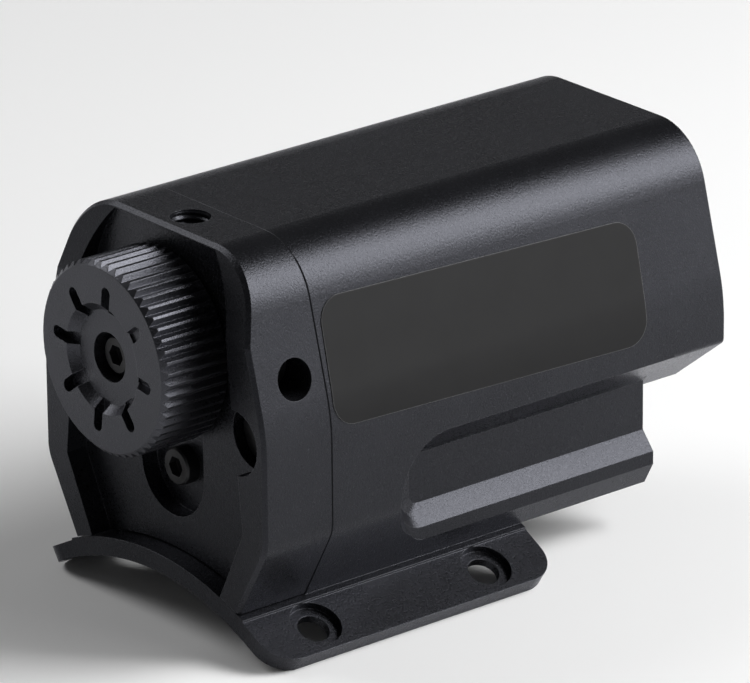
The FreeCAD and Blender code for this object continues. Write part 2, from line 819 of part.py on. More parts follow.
def make_rear_cap():
    body = new_body("rear_cap")
    add_body_outline(body, "cap_block", "cap_front_y", "seam_y - slip", "seat_outer_radius + cap_gap")
    slant = outline(body, "slant", "YZ_Plane", [
        ("cap_front_y", "slant_z"), ("lip_y", "top_height"), ("lip_y", "top_height + plate_thickness"),
        ("cap_front_y - plate_thickness", "top_height + plate_thickness"),
        ("cap_front_y - plate_thickness", "slant_z"),
    ])
    sloped = pocket(body, slant, None, middle=True)
    DOCUMENT.recompute()
    crisp = body.newObject("PartDesign::Chamfer", "cheek_edges")
    crisp.Base = (sloped, front_edges(sloped.Shape))
    bind(crisp, {"Size": "cheek_chamfer"})
    cut_cheeks(body)
    cut_cap_holes(body)
    sink = pocket(body, circles(body, "leg_sink", "XZ_Plane",
                                [("leg_screw_x", "leg_screw_z", "leg_sink_radius")],
                                lift=minus("cap_front_y")), "leg_floor_y - cap_front_y")
    through = pocket(body, circles(body, "leg_hole", "XZ_Plane",
                                   [("leg_screw_x", "leg_screw_z", "leg_screw_radius + slip")],
                                   lift=minus("cap_front_y")), "seam_y - cap_front_y")
    mirror_across(body, [sink, through])
    return keep("rear_cap", body)


def make_cap_seal():
    seal = ring("cap_seal", "seam_y", "seam_y + seal_depth - slip",
                "seal_inner_radius + slip", "seal_outer_radius - slip")
    return keep("cap_seal", seal)


# Screws

def cap_head_screw(label, face, seat, tip, head_radius, radius, across_flats):
    """Makes a socket head screw that points along +Y."""
    corners = [
        (face, "0"), (face, f"{head_radius} - 6 * slip"), (f"{face} + 4 * slip", f"{head_radius} - 2 * slip"),
        (seat, f"{head_radius} - 2 * slip"), (seat, radius), (tip, radius), (tip, "0"),
    ]
    body = turned(label, corners, at_axis=False)
    socket(body, across_flats, face, f"(({seat}) - ({face})) * 0.6")
    return body


def make_cap_screws():
    screw = cap_head_screw("cap_screw", "leg_floor_y - leg_head_height", "leg_floor_y",
                           "leg_floor_y + leg_screw_length", "leg_sink_radius", "leg_screw_radius", "leg_socket")
    place(screw, "leg_screw_x", "0", "leg_screw_z")
    return pair("cap_screws", screw, FreeCAD.Vector(1, 0, 0))


def make_low_screw():
    screw = cap_head_screw("low_screw", "recess_floor_y - small_head_height", "recess_floor_y",
                           "recess_floor_y + low_screw_length", "small_head_radius + 2 * slip",
                           "small_screw_radius", "small_socket")
    place(screw, z="low_screw_z")
    return keep("low_screw", screw)


def set_screw(label, length, tail):
    """Makes a set screw with its socket at the origin, pointing along +Y."""
    corners = [
        ("0", "0"), ("0", "adjuster_radius - slip * 4"), ("slip * 4", "adjuster_radius"),
        (f"{length} - slip * 8", "adjuster_radius"), (length, "adjuster_radius - slip * 8"), (length, "0"),
    ]
    body = turned(label, corners, at_axis=False)
    socket(body, "adjuster_socket", "0", f"{length} * 0.4")
    return body


def make_adjusters():
    """Makes the two alignment screws that bear on the tail of the optic tube."""
    reach = "tail_radius + adjuster_gap"
    down = FreeCAD.Rotation(FreeCAD.Vector(1, 0, 0), -90)
    elevation = set_screw("elevation_screw", "elevation_screw_length", reach)
    place(elevation, "0", "elevation_screw_y", f"axis_z + {reach} + elevation_screw_length", down)
    inward = FreeCAD.Rotation(FreeCAD.Vector(0, 0, 1), 90)
    windage = set_screw("windage_screw", "windage_screw_length", reach)
    place(windage, f"{reach} + windage_screw_length", "windage_screw_y", "axis_z", inward)
    return [keep("elevation_screw", elevation), keep("windage_screw", windage)]


def make_return_plunger():
    """Makes the spring plunger that pushes the tail against both alignment screws."""
    start = "tail_radius + plunger_gap"
    nose = f"{start} + plunger_radius * 0.6"
    corners = [(start, "0"), (nose, "plunger_radius * 0.8"), (nose, "plunger_radius"),
               (f"{start} + plunger_length", "plunger_radius"), (f"{start} + plunger_length", "0")]
    body = turned("return_plunger", corners, bows={0: ("plunger_radius / 1.2", 1)}, at_axis=False)
    outward = FreeCAD.Rotation(FreeCAD.Vector(0, 1, 0), FreeCAD.Vector(-1, 0, -1))
    place(body, "0", "plunger_y", "axis_z", outward)
    return keep("return_plunger", body)


# Focus knob and spindle

def make_focus_knob():
    """Makes the knurled knob with its dished, slotted face."""
    dish = "knob_face_y + dish_depth"
    corners = [
        (dish, "knob_sink_radius"), (dish, "dish_floor_radius"), ("knob_face_y", "dish_radius"),
        ("knob_face_y", "knob_radius - knob_edge"), ("knob_face_y + knob_edge", "knob_radius"),
        ("knob_back_y - knob_edge", "knob_radius"), ("knob_back_y", "knob_radius - knob_edge"),
        ("knob_back_y", "hub_radius + slip"), ("hub_start_y", "hub_radius + slip"),
        ("hub_start_y", "small_screw_radius + slip"), ("knob_sink_y", "small_screw_radius + slip"),
        ("knob_sink_y", "knob_sink_radius"),
    ]
    body = turned("focus_knob", corners)
    straight = "dish_slot_reach - dish_slot_width / 2"
    slot = outline(body, "dish_slot", "XZ_Plane", [
        ("dish_floor_radius - 4 * slip", minus(half("dish_slot_width"))),
        (straight, minus(half("dish_slot_width"))), (straight, half("dish_slot_width")),
        ("dish_floor_radius - 4 * slip", half("dish_slot_width")),
    ], lift=minus("knob_face_y"), bows={1: (None, -1)})
    pattern_round(body, [pocket(body, slot, "dish_slot_depth")], "dish_slots")
    tooth = outline(body, "knurl", "XZ_Plane", [
        (minus(half("knurl_width")), "knob_radius + slip"), ("0", "knob_radius - knurl_depth"),
        (half("knurl_width"), "knob_radius + slip"),
    ], lift=minus("knob_face_y"))
    pattern_round(body, [pocket(body, tooth, "knob_back_y - knob_face_y")], "knurl_count")
    place(body, z="axis_z", turn=FreeCAD.Rotation(FreeCAD.Vector(0, 1, 0), number("dish_slot_phase")))
    return keep("focus_knob", body)


def make_knob_screw():
    screw = cap_head_screw("knob_screw", "knob_sink_y - small_head_height", "knob_sink_y",
                           "knob_sink_y + knob_screw_length", "small_head_radius + 2 * slip",
                           "small_screw_radius", "small_socket")
    place(screw, z="axis_z")
    return keep("knob_screw", screw)


def make_spindle():
    """Makes the spindle that the knob turns, with its hub, clip groove and plain thread."""
    screw_end = "knob_sink_y + knob_screw_length + slip"
    groove_end = "clip_back_y + clip_thickness + slip"
    hub_end = "tail_end_y - 4 * slip"
    corners = [
        ("hub_start_y", "small_screw_radius + slip"), ("hub_start_y", "hub_radius"), (hub_end, "hub_radius"),
        (hub_end, "spindle_radius"), ("clip_back_y", "spindle_radius"), ("clip_back_y", "clip_groove_radius"),
        (groove_end, "clip_groove_radius"), (groove_end, "spindle_radius"), ("spindle_end_y", "spindle_radius"),
        ("spindle_end_y", "0"), (screw_end, "0"), (screw_end, "small_screw_radius + slip"),
    ]
    return keep("focus_spindle", turned("focus_spindle", corners))


def make_spindle_fittings():
    """Makes the bush, the seal and the clip that hold the spindle in the tail."""
    bush = ring("spindle_bush", "bush_start_y", "tail_wall_y - slip", "spindle_radius + slip",
                "bush_bore_radius - slip / 2")
    keep("spindle_bush", bush)
    middle = half("tail_end_y + bush_start_y")
    keep("spindle_seal", ring("spindle_seal", middle + " - spindle_seal_width / 2",
                              middle + " + spindle_seal_width / 2",
                              "spindle_radius + slip", "bush_bore_radius - slip / 2"))
    clip = ring("spindle_clip", "clip_back_y + slip / 2", "clip_back_y + clip_thickness",
                "clip_groove_radius + slip", "clip_radius")
    mouth = rectangle(minus("clip_groove_radius"), minus("clip_radius + slip"), "clip_groove_radius", "0")
    pocket(clip, outline(clip, "clip_mouth", "XZ_Plane", mouth), None, middle=True)
    keep("spindle_clip", clip)


# Optic tube

def make_optic_tube():
    """Makes the tube with its tail, lens shoulder, pivot holes and guide rod holes."""
    lens_step = "lens_clear_radius"
    corners = [
        ("tail_end_y", "bush_bore_radius"), ("tail_end_y", "tail_radius"), ("tube_wall_y", "tail_radius"),
        ("tube_wall_y", "tube_radius"), ("tube_front_y", "tube_radius"), ("tube_front_y", "tube_inner_radius"),
        ("lens_seat_y", "tube_inner_radius"), ("lens_seat_y", lens_step), ("lens_shoulder_y", lens_step),
        ("lens_shoulder_y", "tube_inner_radius"), ("tail_wall_y", "tube_inner_radius"),
        ("tail_wall_y", "bush_bore_radius"),
    ]
    body = turned("optic_tube", corners)
    pin_holes = circles(body, "tube_pin_holes", "XY_Plane", [("0", "pivot_y", "pin_radius + slip")])
    pocket(body, pin_holes, None, middle=True)
    rods = circles(body, "rod_holes", "XZ_Plane",
                   [("rod_offset", "0", "rod_radius"), ("-rod_offset", "0", "rod_radius")],
                   lift=minus("tube_wall_y"))
    pocket(body, rods, "tube_wall_thickness")
    return keep("optic_tube", body)


def make_guide_rods():
    rod = bar("guide_rod", "rod_radius", "rod_end_y - tube_wall_y", FreeCAD.Vector(0, 1, 0),
              "rod_offset", "tube_wall_y", "axis_z")
    return pair("guide_rods", rod, FreeCAD.Vector(1, 0, 0))


def make_lens():
    """Makes the lens with its flat back, its rim and its bulging front."""
    bulge = "lens_curve_radius - sqrt(lens_curve_radius ^ 2 - lens_clear_radius ^ 2)"
    corners = [
        ("lens_back_y", "0"), ("lens_back_y", "lens_radius"), ("lens_rim_y", "lens_radius"),
        ("lens_rim_y", "lens_clear_radius"), (f"lens_rim_y + {bulge}", "0"),
    ]
    body = turned("lens", corners, bows={3: ("lens_curve_radius", 1)})
    return keep("lens", body)


def make_lens_fittings():
    """Makes the seal behind the lens and the threaded ring in front of it."""
    keep("lens_seal", ring("lens_seal", "lens_seat_y", "lens_back_y", "lens_clear_radius", "lens_radius"))
    corners = [
        ("lens_rim_y", "lens_clear_radius + slip"), ("lens_rim_y", "lens_radius"),
        ("lens_rim_y + lens_ring_width", "lens_radius"),
        ("lens_rim_y + lens_ring_width", "lens_radius - slip * 4"),
    ]
    keep("lens_ring", turned("lens_ring", corners))


def make_pivot():
    """Makes the two-axis pivot: a fixed sleeve, a tilting ring and two pairs of pins."""
    sleeve = ring("pivot_sleeve", "body_front_y - front_bore_depth + slip", "sleeve_front_y",
                  "sleeve_inner_radius", "front_bore_radius - slip")
    pocket(sleeve, circles(sleeve, "sleeve_holes", "YZ_Plane", [("pivot_y", "0", "pin_radius")]),
           None, middle=True)
    keep("pivot_sleeve", sleeve)
    tilt = ring("gimbal_ring", "pivot_y - ring_width / 2", "pivot_y + ring_width / 2",
                "ring_inner_radius", "ring_outer_radius")
    pocket(tilt, circles(tilt, "level_holes", "YZ_Plane", [("pivot_y", "0", "pin_radius + slip")]),
           None, middle=True)
    pocket(tilt, circles(tilt, "upright_holes", "XY_Plane", [("0", "pivot_y", "pin_radius")]),
           None, middle=True)
    keep("gimbal_ring", tilt)
    level = bar("elevation_pin", "pin_radius", "front_bore_radius - ring_inner_radius - 6 * slip",
                FreeCAD.Vector(1, 0, 0), "ring_inner_radius + 4 * slip", "pivot_y", "axis_z")
    pair("elevation_pins", level, FreeCAD.Vector(1, 0, 0))
    upright = bar("windage_pin", "pin_radius", "ring_outer_radius - tube_inner_radius - 6 * slip",
                  FreeCAD.Vector(0, 0, 1), "0", "pivot_y", "axis_z + tube_inner_radius + 4 * slip")
    pair("windage_pins", upright, FreeCAD.Vector(0, 0, 1), z="axis_z")


def make_front_ring():
    """Makes the threaded ring that holds the pivot sleeve, with two spanner notches."""
    front = "body_front_y - slip"
    inner_step = "front_ring_inner_radius"
    corners = [
        (f"{front} - front_ring_width", inner_step), (f"{front} - front_ring_width", "front_bore_radius - slip"),
        (front, "front_bore_radius - slip"), (front, f"{inner_step} + front_ring_width / 3"),
        (f"{front} - front_ring_width / 3", inner_step),
    ]
    body = turned("front_ring", corners)
    notch = rectangle(minus("front_bore_radius"), minus(half("spanner_notch_width")),
                      "front_bore_radius", half("spanner_notch_width"))
    sketch = outline(body, "spanner_notch", "XZ_Plane", notch, lift=minus(front))
    pocket(body, sketch, half("front_ring_width"), forward=True)
    return keep("front_ring", body)


# Emitter

def make_carriage():
    """Makes the carriage that the spindle drives along the guide rods."""
    corners = [
        ("carriage_back_y", "carriage_bore_radius"), ("carriage_back_y", "carriage_radius"),
        ("carriage_front_y", "carriage_radius"), ("carriage_front_y", "carriage_rim_inner_radius"),
        ("carriage_step_y", "carriage_rim_inner_radius"), ("carriage_step_y", "carriage_bore_radius"),
    ]
    body = turned("emitter_carriage", corners)
    rods = circles(body, "rod_ways", "XZ_Plane",
                   [("rod_offset", "0", "rod_radius + slip"), ("-rod_offset", "0", "rod_radius + slip")],
                   lift=minus("carriage_back_y"))
    pocket(body, rods, "carriage_base")
    return keep("emitter_carriage", body)


def make_emitter():
    """Makes the round board on the carriage and the domed emitter on it."""
    board = turned("emitter_board", rectangle("carriage_front_y", "0", "emitter_y", "carriage_radius - slip"))
    keep("emitter_board", board)
    flank = "emitter_y + emitter_height * 0.4"
    dome = "emitter_height * 0.6"
    reach = f"(emitter_radius ^ 2 + ({dome}) ^ 2) / (2 * {dome})"
    corners = [("emitter_y", "0"), ("emitter_y", "emitter_radius"), (flank, "emitter_radius"),
               ("emitter_y + emitter_height", "0")]
    keep("emitter", turned("emitter", corners, bows={2: (reach, 1)}))


# Electronics in the foot

def make_driver_board():
    """Makes the driver board in its slots, and the parts that stand on it."""
    side = half("board_width")
    start = "seam_y + 10 * slip"
    keep("driver_board", block("driver_board", (minus(side), start, "board_z"),
                               (side, f"{start} + board_length", "board_z + board_thickness")))
    top = "board_z + board_thickness"
    upward = FreeCAD.Vector(0, 0, 1)
    coil = bar("coil", "coil_radius", "board_part_height", upward, "coil_x", "coil_y", top)
    can = bar("can", "can_radius", "board_part_height", upward, "can_x", "can_y", top)
    chip = standing_block("chip", "chip_x", "chip_y", "chip_side", "chip_side", top, "chip_height")
    plug = standing_block("plug", "plug_x", "plug_y", "plug_width", "plug_length", top, "board_part_height")
    group("board_parts", [coil, can, chip, plug])


def make_contacts():
    """Makes the insulating block in the seat and the two contact pins through it."""
    wide = half("contact_width") + " - slip"
    deep = half("contact_length") + " - slip"
    body = new_body("contact_block")
    sketch = outline(body, "contact_plan", "XY_Plane",
                     rectangle(minus(wide), minus(deep), wide, deep), lift="contact_recess")
    pad(body, sketch, "cavity_floor_z - contact_recess")
    holes = circles(body, "contact_holes", "XY_Plane",
                    [(sign + "contact_pin_offset", "0", "contact_pin_radius") for sign in ("", "-")])
    pocket(body, holes, None, middle=True)
    keep("contact_block", body)
    pin = bar("contact_pin", "contact_pin_radius", "board_z - contact_pin_recess", FreeCAD.Vector(0, 0, 1),
              "contact_pin_offset", "0", "contact_pin_recess")
    pair("contact_pins", pin, FreeCAD.Vector(1, 0, 0))


# Label

def make_label():
    """Makes the bare label as a thin strip of the flank, cut to a rounded rectangle."""
    low = "label_z - label_height"
    high = "label_z + label_height"
    high_x = f"half_body - ({high} - flank_break_z) * tan(side_lean)"
    strip = new_body("label_strip")
    corners = [
        ("half_body", low), ("half_body + label_thickness", low),
        ("half_body + label_thickness", "flank_break_z + label_thickness * tan(side_lean / 2)",
         "flank_break_radius + label_thickness"),
        (f"{high_x} + label_thickness * cos(side_lean)", f"{high} + label_thickness * sin(side_lean)"),
        (high_x, high), ("half_body", "flank_break_z", "flank_break_radius"),
    ]
    sketch = outline(strip, "label_section", "XZ_Plane", corners, lift=minus("label_y"))
    pad(strip, sketch, "label_length * 1.2", middle=True)
    sheet = new_body("label_sheet")
    wide = half("label_length")
    tall = half("label_height")
    plan = [(x, y, "label_corner") for x, y in rectangle(minus(wide), minus(tall), wide, tall)]
    pad(sheet, outline(sheet, "label_plan", "YZ_Plane", plan), "body_width")
    place(sheet, "0", "label_y", "label_z", FreeCAD.Rotation(FreeCAD.Vector(1, 0, 0), -number("label_tilt")))
    label = DOCUMENT.addObject("Part::Common", "side_label")
    label.Base = strip
    label.Tool = sheet
    return keep("side_label", label)


# Checking and writing

def check_model():
    """Stops if any object of the document failed or any piece has no sound shape."""
    for thing in DOCUMENT.Objects:
        faults = [state for state in thing.State if state in ("Invalid", "Error")]
        if faults:
            raise RuntimeError(f"{thing.Name} is {faults}")
    for piece in NODES:
        shape = piece.Shape
        if shape.isNull() or not shape.isValid() or not shape.Solids:
            raise RuntimeError(f"{piece.Label} has no sound shape")


def write_pieces():
    """Writes each piece to its own file."""
    os.makedirs("parts", exist_ok=True)
    for piece in NODES:
        piece.Shape.exportStep(os.path.join("parts", piece.Label + ".step"))


def main():
    fill_sheet()
    make_housing()
    make_rear_cap()
    make_cap_seal()
    make_cap_screws()
    make_low_screw()
    make_adjusters()
    make_return_plunger()
    make_focus_knob()
    make_knob_screw()
    make_spindle()
    make_spindle_fittings()
    make_optic_tube()
    make_guide_rods()
    make_lens()
    make_lens_fittings()
    make_pivot()
    make_front_ring()
    make_carriage()
    make_emitter()
    make_driver_board()
    make_contacts()
    make_label()
    DOCUMENT.recompute()
    check_model()
    write_pieces()


main()
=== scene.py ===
import json
import math

import bmesh
import bpy
from mathutils import Matrix, Vector


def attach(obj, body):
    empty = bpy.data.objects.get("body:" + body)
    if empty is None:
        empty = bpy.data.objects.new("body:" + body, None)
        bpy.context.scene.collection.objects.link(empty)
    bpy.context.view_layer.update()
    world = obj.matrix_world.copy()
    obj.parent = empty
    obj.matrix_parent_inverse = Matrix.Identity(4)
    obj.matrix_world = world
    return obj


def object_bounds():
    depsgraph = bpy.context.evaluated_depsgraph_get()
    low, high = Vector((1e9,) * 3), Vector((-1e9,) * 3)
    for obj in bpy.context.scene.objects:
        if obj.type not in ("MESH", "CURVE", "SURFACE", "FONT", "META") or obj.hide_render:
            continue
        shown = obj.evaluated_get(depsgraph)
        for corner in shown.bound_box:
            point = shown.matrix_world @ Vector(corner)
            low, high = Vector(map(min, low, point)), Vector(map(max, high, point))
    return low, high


# Looks of an infrared illuminator that clamps on a tube. Metres, in the frame of the solids:
# +X towards the labelled flank, +Y towards the lens end, +Z up.

MM = 0.001

# Camera, from the photograph's perspective
AZIMUTH = math.radians(50.647)
ELEVATION = math.radians(21.192)
ROLL = math.radians(-0.512)
DISTANCE = 685.8 * MM
AIM = Vector((13.731, -0.909, 24.425)) * MM
LENS = 329.19
SENSOR = 36.0

# Tapped hole in the top of the cap, which stands open above its screw. Its thread starts just below
# the hole's edge.
TOP_HOLE_Y = -13.3 * MM
HOLE_RADIUS = 2.1 * MM
TOP_Z = 36.9 * MM
THREAD_PITCH = 0.7 * MM
THREAD_DEPTH = 0.26 * MM
THREAD_LENGTH = 1.6 * MM
THREAD_START = 0.15 * MM
THREAD_CLEARANCE = 0.01 * MM
CREST_SHARPNESS = 1.35

# Joint between the housing and the cap. The shade in its narrow gap is painted as a dark line between the top
# face and the saddle. The painted line fades out over the last stretch below the top face, and ends at the
# saddle's outer radius about the tube's axis.
SEAM_Y = -10.06 * MM
SEAM_HALF_WIDTH = 0.15 * MM
SEAM_TOP_Z = 35.8 * MM
SEAM_TOP_FADE = 0.8 * MM
TUBE_AXIS_Z = -33.5 * MM
SEAM_FOOT_RADIUS = 35.52 * MM
SEAM_FOOT_FADE = 0.05 * MM

# Tones of sparkling and worn places, of the painted shade in the seam, and of the floor
SPARKLE_TONE = (0.09, 0.093, 0.105, 1)
WORN_SKIN_TONE = (0.11, 0.112, 0.12, 1)
WORN_STEEL_TONE = (0.22, 0.22, 0.23, 1)
# Colour of the painted shade in the seam's gap
SEAM_SHADE_TONE = (0.001, 0.001, 0.001, 1)
LABEL_EDGE_TONE = (0.12, 0.12, 0.122, 1)
SKIN_TINT = (0.85, 0.87, 1.0, 1)
FLOOR_GREY = 0.94
FLOOR_HALF_WIDTH = 4.0

# World, pale at the horizon and dark above it. The heights are those of a direction of length 1.
HORIZON_STRENGTH = 0.8
CEILING_STRENGTH = 0.095
HORIZON_HEIGHT = 0.05
CEILING_HEIGHT = 0.22

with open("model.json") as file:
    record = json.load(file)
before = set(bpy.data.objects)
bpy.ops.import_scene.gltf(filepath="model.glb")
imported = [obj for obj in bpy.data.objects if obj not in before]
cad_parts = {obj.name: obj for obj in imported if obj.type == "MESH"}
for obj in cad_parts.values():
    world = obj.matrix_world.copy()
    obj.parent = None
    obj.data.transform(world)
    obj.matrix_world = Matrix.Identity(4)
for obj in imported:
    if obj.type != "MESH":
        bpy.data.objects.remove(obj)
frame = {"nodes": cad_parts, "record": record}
cad_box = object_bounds()
nodes = frame["nodes"]


# Node graphs

class Graph:
    """Builds a material's node graph in short steps."""

    def __init__(self, name):
        self.material = bpy.data.materials.new(name)
        self.material.use_nodes = True
        self.tree = self.material.node_tree
        self.tree.nodes.clear()
        self.place = self.add("ShaderNodeTexCoord").outputs["Object"]

    def add(self, kind, **settings):
        """Adds a node with the given properties."""
        node = self.tree.nodes.new(kind)
        for name, value in settings.items():
            setattr(node, name, value)
        return node

    def put(self, socket, value):
        """Joins an output to a socket, or sets the socket's own value."""
        if isinstance(value, bpy.types.NodeSocket):
            self.tree.links.new(value, socket)
        else:
            socket.default_value = value

    def noise(self, size, detail=2.0, roughness=0.5, stretch=(1, 1, 1)):
        """Returns noise whose grains are about the given size in metres."""
        mapping = self.add("ShaderNodeMapping")
        self.put(mapping.inputs["Vector"], self.place)
        self.put(mapping.inputs["Scale"], stretch)
        noise = self.add("ShaderNodeTexNoise")
        self.put(noise.inputs["Vector"], mapping.outputs["Vector"])
        self.put(noise.inputs["Scale"], 1.0 / size)
        self.put(noise.inputs["Detail"], detail)
        self.put(noise.inputs["Roughness"], roughness)
        return noise.outputs["Fac"]

    def span(self, value, low, high, start, end):
        """Maps a value from one range to another, held at the ends."""
        node = self.add("ShaderNodeMapRange")
        for name, number in (("Value", value), ("From Min", low), ("From Max", high),
                             ("To Min", start), ("To Max", end)):
            self.put(node.inputs[name], number)
        return node.outputs["Result"]

    def sums(self, operation, first, second=0.0):
        """Returns the result of a sum, whose second value some operations leave unused."""
        node = self.add("ShaderNodeMath", operation=operation)
        self.put(node.inputs[0], first)
        self.put(node.inputs[1], second)
        return node.outputs["Value"]

    def mix(self, share, first, second):
        """Mixes two colours, through the sockets that a Mix node keeps for colours."""
        node = self.add("ShaderNodeMix", data_type="RGBA")
        self.put(node.inputs[0], share)
        self.put(node.inputs[6], first)
        self.put(node.inputs[7], second)
        return node.outputs[2]

    def soft_edges(self, radius):
        """Returns a normal that rounds the edges off."""
        node = self.add("ShaderNodeBevel", samples=6)
        self.put(node.inputs["Radius"], radius)
        return node.outputs["Normal"]

    def edge_mask(self, radius, low, high):
        """Returns 0 on open faces and up to 1 on worn edges."""
        bend = self.add("ShaderNodeVectorMath", operation="DOT_PRODUCT")
        self.put(bend.inputs[0], self.soft_edges(radius))
        self.put(bend.inputs[1], self.add("ShaderNodeNewGeometry").outputs["Normal"])
        return self.span(bend.outputs["Value"], high, low, 0.0, 1.0)

    def seam(self):
        """Returns the mask of the painted shade in the seam: 1 in the narrow line where the cap meets the
        housing, and 0 elsewhere.
        """
        split = self.add("ShaderNodeSeparateXYZ")
        self.put(split.inputs["Vector"], self.place)
        away = self.sums("ABSOLUTE", self.sums("SUBTRACT", split.outputs["Y"], SEAM_Y))
        line = self.span(away, 0.6 * SEAM_HALF_WIDTH, SEAM_HALF_WIDTH, 1.0, 0.0)
        below = self.span(split.outputs["Z"], SEAM_TOP_Z - SEAM_TOP_FADE, SEAM_TOP_Z, 1.0, 0.0)
        across = self.sums("POWER", self.sums("ABSOLUTE", split.outputs["X"]), 2.0)
        rise = self.sums("POWER", self.sums("SUBTRACT", split.outputs["Z"], TUBE_AXIS_Z), 2.0)
        reach = self.sums("SQRT", self.sums("ADD", across, rise))
        outside = self.span(reach, SEAM_FOOT_RADIUS, SEAM_FOOT_RADIUS + SEAM_FOOT_FADE, 0.0, 1.0)
        return self.sums("MULTIPLY", line, self.sums("MULTIPLY", below, outside))

    def bump(self, height, depth, strength, normal):
        """Returns a normal that follows the given height."""
        node = self.add("ShaderNodeBump")
        self.put(node.inputs["Height"], height)
        self.put(node.inputs["Distance"], depth)
        self.put(node.inputs["Strength"], strength)
        self.put(node.inputs["Normal"], normal)
        return node.outputs["Normal"]

    def surface(self, **sockets):
        """Closes the graph with a shader whose sockets take the given values."""
        shader = self.add("ShaderNodeBsdfPrincipled")
        for name, value in sockets.items():
            self.put(shader.inputs[name.replace("_", " ")], value)
        out = self.add("ShaderNodeOutputMaterial")
        self.put(out.inputs["Surface"], shader.outputs["BSDF"])
        return self.material


def grey(value):
    """Returns a neutral opaque colour."""
    return (value, value, value, 1.0)


def anodised(name, dark, light, roughness, grain, grain_depth, **sockets):
    """Bead-blasted aluminium under a black anodised skin."""
    graph = Graph(name)
    fine = graph.noise(grain, 3.0, 0.65)
    cloud = graph.noise(9 * MM, 3.0)
    worn = graph.sums("MULTIPLY", graph.edge_mask(0.12 * MM, 0.80, 0.97), graph.noise(0.8 * MM, 3.0))
    tone = graph.mix(graph.span(cloud, 0.35, 0.65, 0.0, 1.0), dark, light)
    sparkle = graph.span(fine, 0.62, 0.74, 0.0, 1.0)
    tone = graph.mix(graph.sums("MULTIPLY", sparkle, 0.35), tone, SPARKLE_TONE)
    tone = graph.mix(graph.sums("MULTIPLY", worn, 0.7), tone, WORN_SKIN_TONE)
    # Painted shade: the seam's gap is painted dark and made fully rough, so that it takes no highlight
    seam = graph.seam()
    tone = graph.mix(seam, tone, SEAM_SHADE_TONE)
    rough = graph.sums("ADD", graph.span(cloud, 0.3, 0.7, roughness - 0.015, roughness + 0.015),
                       graph.span(fine, 0.3, 0.7, -0.05, 0.05))
    rough = graph.sums("MAXIMUM", rough, seam)
    normal = graph.bump(fine, grain_depth, 0.7, graph.soft_edges(0.10 * MM))
    return graph.surface(Base_Color=tone, Roughness=rough, Normal=normal, Metallic=0.3, IOR=1.55,
                         Specular_Tint=SKIN_TINT, **sockets)


def steel(name, tone, light, roughness, metallic):
    """Turned or oxidised steel with fine tool marks."""
    graph = Graph(name)
    marks = graph.noise(0.12 * MM, 3.0, 0.6, (1, 6, 1))
    cloud = graph.noise(2 * MM, 2.0)
    worn = graph.edge_mask(0.08 * MM, 0.75, 0.97)
    colour = graph.mix(graph.span(cloud, 0.3, 0.7, 0.0, 1.0), tone, light)
    colour = graph.mix(graph.sums("MULTIPLY", worn, 0.5), colour, WORN_STEEL_TONE)
    rough = graph.span(marks, 0.3, 0.7, roughness - 0.06, roughness + 0.08)
    normal = graph.bump(marks, 0.01 * MM, 0.4, graph.soft_edges(0.08 * MM))
    return graph.surface(Base_Color=colour, Roughness=rough, Normal=normal, Metallic=metallic)


def plain(name, tone, light, roughness, grain, depth, edge=None, **sockets):
    """Moulded, printed or coated stuff with a fine uneven skin, and pale edges where asked."""
    graph = Graph(name)
    fine = graph.noise(grain, 3.0)
    cloud = graph.noise(grain * 25, 2.0)
    colour = graph.mix(graph.span(cloud, 0.3, 0.7, 0.0, 1.0), tone, light)
    if edge:
        colour = graph.mix(graph.edge_mask(0.14 * MM, 0.85, 0.98), colour, edge)
    rough = graph.span(fine, 0.3, 0.7, roughness - 0.05, roughness + 0.05)
    normal = graph.bump(fine, depth, 0.4, graph.soft_edges(0.06 * MM))
    return graph.surface(Base_Color=colour, Roughness=rough, Normal=normal, **sockets)


def make_materials():
    """Makes one material for each slot of the record."""
    return {
        "black_anodised": anodised("black_anodised", (0.0062, 0.0064, 0.0075, 1), (0.0085, 0.0088, 0.0102, 1),
                                   roughness=0.29, grain=0.22 * MM, grain_depth=0.055 * MM,
                                   Specular_IOR_Level=0.38),
        "black_knob": anodised("black_knob", (0.007, 0.007, 0.008, 1), (0.012, 0.012, 0.0135, 1),
                               roughness=0.30, grain=0.20 * MM, grain_depth=0.05 * MM,
                               Specular_IOR_Level=0.8),
        "black_steel": steel("black_steel", (0.012, 0.012, 0.013, 1), (0.03, 0.03, 0.032, 1),
                             roughness=0.36, metallic=0.7),
        "bright_steel": steel("bright_steel", (0.42, 0.42, 0.43, 1), (0.6, 0.6, 0.61, 1),
                              roughness=0.28, metallic=1.0),
        "bearing_brass": plain("bearing_brass", (0.62, 0.42, 0.16, 1), (0.75, 0.56, 0.26, 1),
                               roughness=0.3, grain=0.1 * MM, depth=0.01 * MM, Metallic=1.0),
        "rubber_seal": plain("rubber_seal", grey(0.012), grey(0.02),
                             roughness=0.75, grain=0.12 * MM, depth=0.02 * MM),
        "lens_glass": plain("lens_glass", (0.93, 0.95, 0.98, 1), (0.98, 0.98, 1.0, 1),
                            roughness=0.07, grain=0.5 * MM, depth=0.0005 * MM,
                            Transmission_Weight=1.0, IOR=1.52, Coat_Weight=0.6),
        "circuit_board": plain("circuit_board", (0.01, 0.05, 0.025, 1), (0.015, 0.08, 0.04, 1),
                               roughness=0.4, grain=0.3 * MM, depth=0.01 * MM),
        "board_plastic": plain("board_plastic", grey(0.015), grey(0.025),
                               roughness=0.5, grain=0.15 * MM, depth=0.01 * MM),
        "emitter_lens": plain("emitter_lens", (0.85, 0.86, 0.9, 1), (0.93, 0.93, 0.95, 1),
                              roughness=0.12, grain=0.4 * MM, depth=0.001 * MM,
                              Transmission_Weight=0.8, IOR=1.5),
        "label_film": plain("label_film", (0.004, 0.004, 0.0044, 1), (0.0055, 0.0055, 0.006, 1),
                            roughness=0.36, grain=0.16 * MM, depth=0.003 * MM, edge=LABEL_EDGE_TONE,
                            IOR=1.5, Specular_IOR_Level=0.2),
    }


